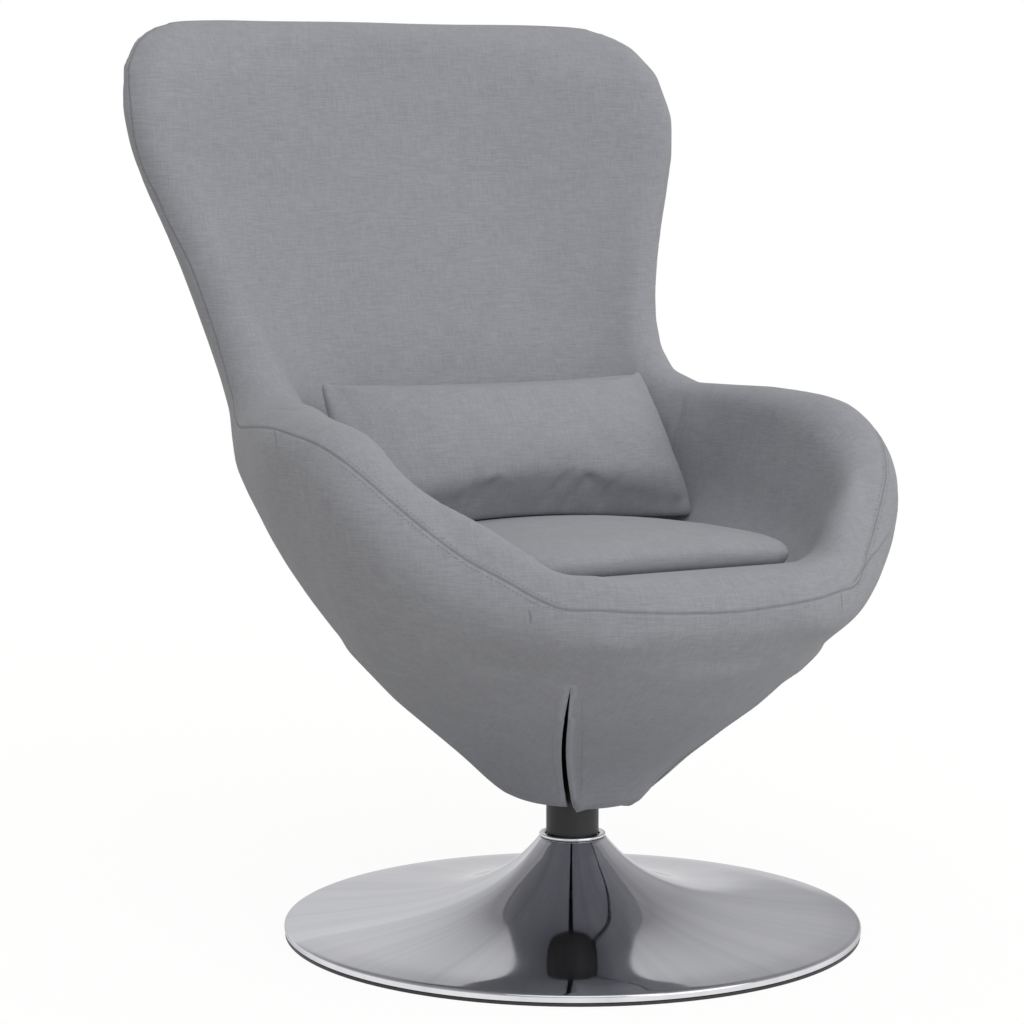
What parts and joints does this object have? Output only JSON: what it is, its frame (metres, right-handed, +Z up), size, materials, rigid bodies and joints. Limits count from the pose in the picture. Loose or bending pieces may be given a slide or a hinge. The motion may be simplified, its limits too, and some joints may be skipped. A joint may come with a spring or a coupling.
{
  "type": "swivel pod chair",
  "caption": "Grey fabric pod armchair with flared wings, a loose seat pad and lumbar pillow, on a swivel column and a round polished trumpet foot.",
  "frame": {"origin": "on the floor at the swivel axis, the middle of the round foot", "axes": "+Z up along the swivel axis, the sitter faces -Y, X across the seat"},
  "size_m": [0.6838, 0.7633, 0.9529],
  "materials": {
    "grey_fabric": "woven, matt",
    "chrome": "polished",
    "black_plastic": "matt",
    "black_steel": "black powder coat",
    "plated_steel": "zinc plated",
    "nylon": "matt, natural",
    "plywood": "bare birch plywood"
  },
  "bodies": {
    "base": {"base_dish": "chrome", "floor_ring": "black_plastic", "ballast_disc": "black_steel", "foot_flange": "black_steel", "flange_screws": "plated_steel", "column_tube": "black_steel", "column_sleeve": "black_plastic", "collar_ring": "chrome", "upper_bush": "nylon", "lower_bush": "nylon", "lower_race": "plated_steel"},
    "bearing": {"roller_cage": "nylon", "thrust_rollers": "plated_steel"},
    "seat": {"upper_race": "plated_steel", "spindle": "plated_steel", "spindle_washer": "plated_steel", "retaining_clip": "plated_steel", "swivel_plate": "black_steel", "frame_rails": "black_steel", "rail_caps": "black_plastic", "plate_bolts": "plated_steel", "tee_nuts": "plated_steel", "seat_board": "plywood", "foam_shell": "grey_fabric", "cover_skirt": "grey_fabric"},
    "pad": {"seat_pad": "grey_fabric"},
    "pillow": {"lumbar_pillow": "grey_fabric"}
  },
  "joints": [
    {"name": "seat_swivel", "type": "hinge", "parent": "base", "child": "seat", "pos_m": [0, 0, 0.25], "axis": [0, 0, 1], "continuous": true},
    {"name": "bearing_turn", "type": "hinge", "parent": "base", "child": "bearing", "pos_m": [0, 0, 0.25], "axis": [0, 0, 1], "continuous": true},
    {"name": "pad_lift", "type": "slide", "parent": "seat", "child": "pad", "axis": [0, 0, 1], "range_m": [0, 0.3]},
    {"name": "pillow_lift", "type": "slide", "parent": "pad", "child": "pillow", "axis": [0, -0.5, 0.866], "range_m": [0, 0.3]}
  ],
  "couplings": [
    {"joint": "bearing_turn", "follows": "seat_swivel", "ratio": 0.5}
  ]
}
